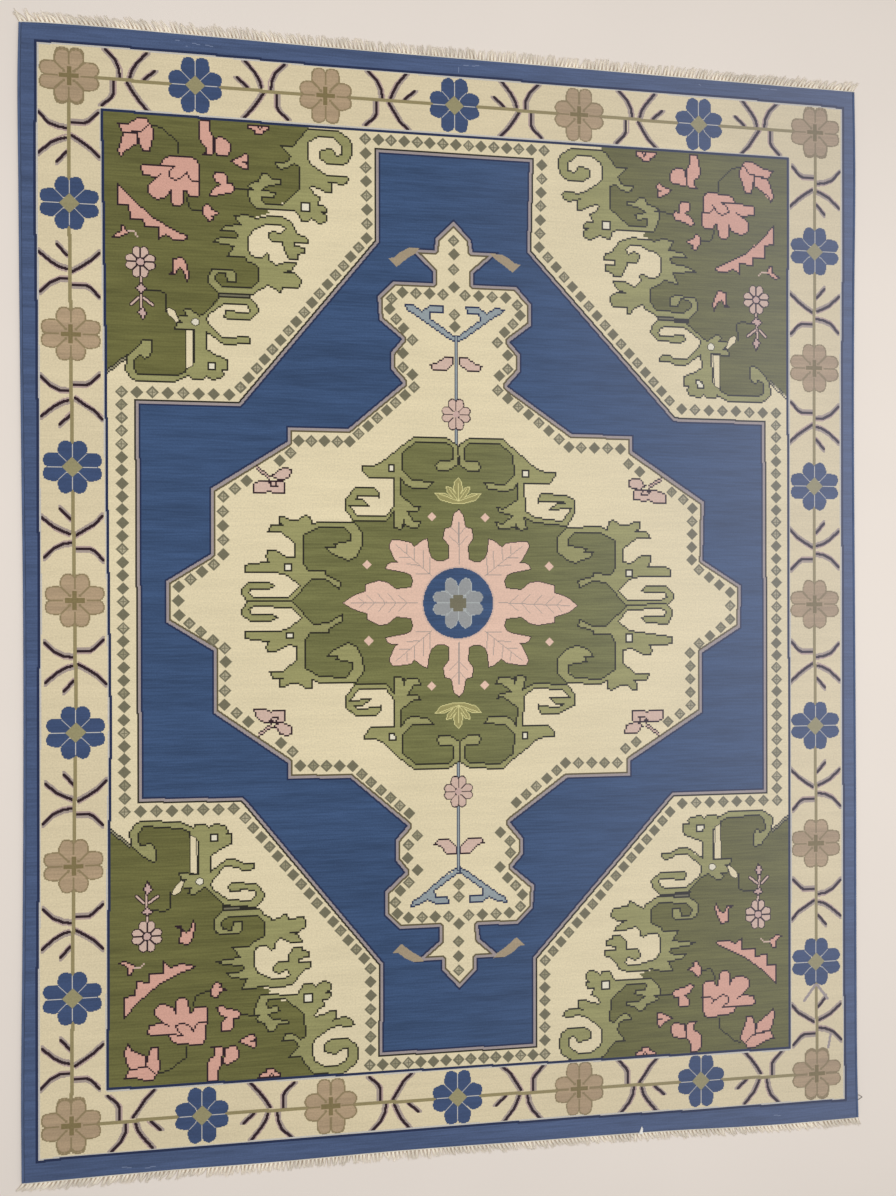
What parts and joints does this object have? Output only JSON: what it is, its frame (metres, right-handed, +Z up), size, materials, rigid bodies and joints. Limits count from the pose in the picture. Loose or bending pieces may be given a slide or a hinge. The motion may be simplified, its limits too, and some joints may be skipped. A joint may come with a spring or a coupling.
{
  "type": "oushak rug",
  "caption": "Flat hand-knotted wool area rug with a cream medallion on a blue field, green corners, overcast selvedges and a cotton fringe at both ends.",
  "frame": {"origin": "on the floor, under the middle of the rug", "axes": "+Z up out of the pile, +Y along the warp to the end that is uppermost in the picture, +X to the picture's right"},
  "size_m": [2.6126, 3.415, 0.01],
  "materials": {
    "pile": "low matt wool pile in blue, cream, olive green, pink and taupe, with streaks of uneven dye",
    "selvedge": "overcast wool yarn, matt, blue-grey",
    "fringe": "undyed cotton warp yarn, matt, cream"
  },
  "bodies": {
    "root": {"pile": "pile", "selvedge_left": "selvedge", "selvedge_right": "selvedge", "fringe_top": "fringe", "fringe_bottom": "fringe"}
  },
  "joints": []
}
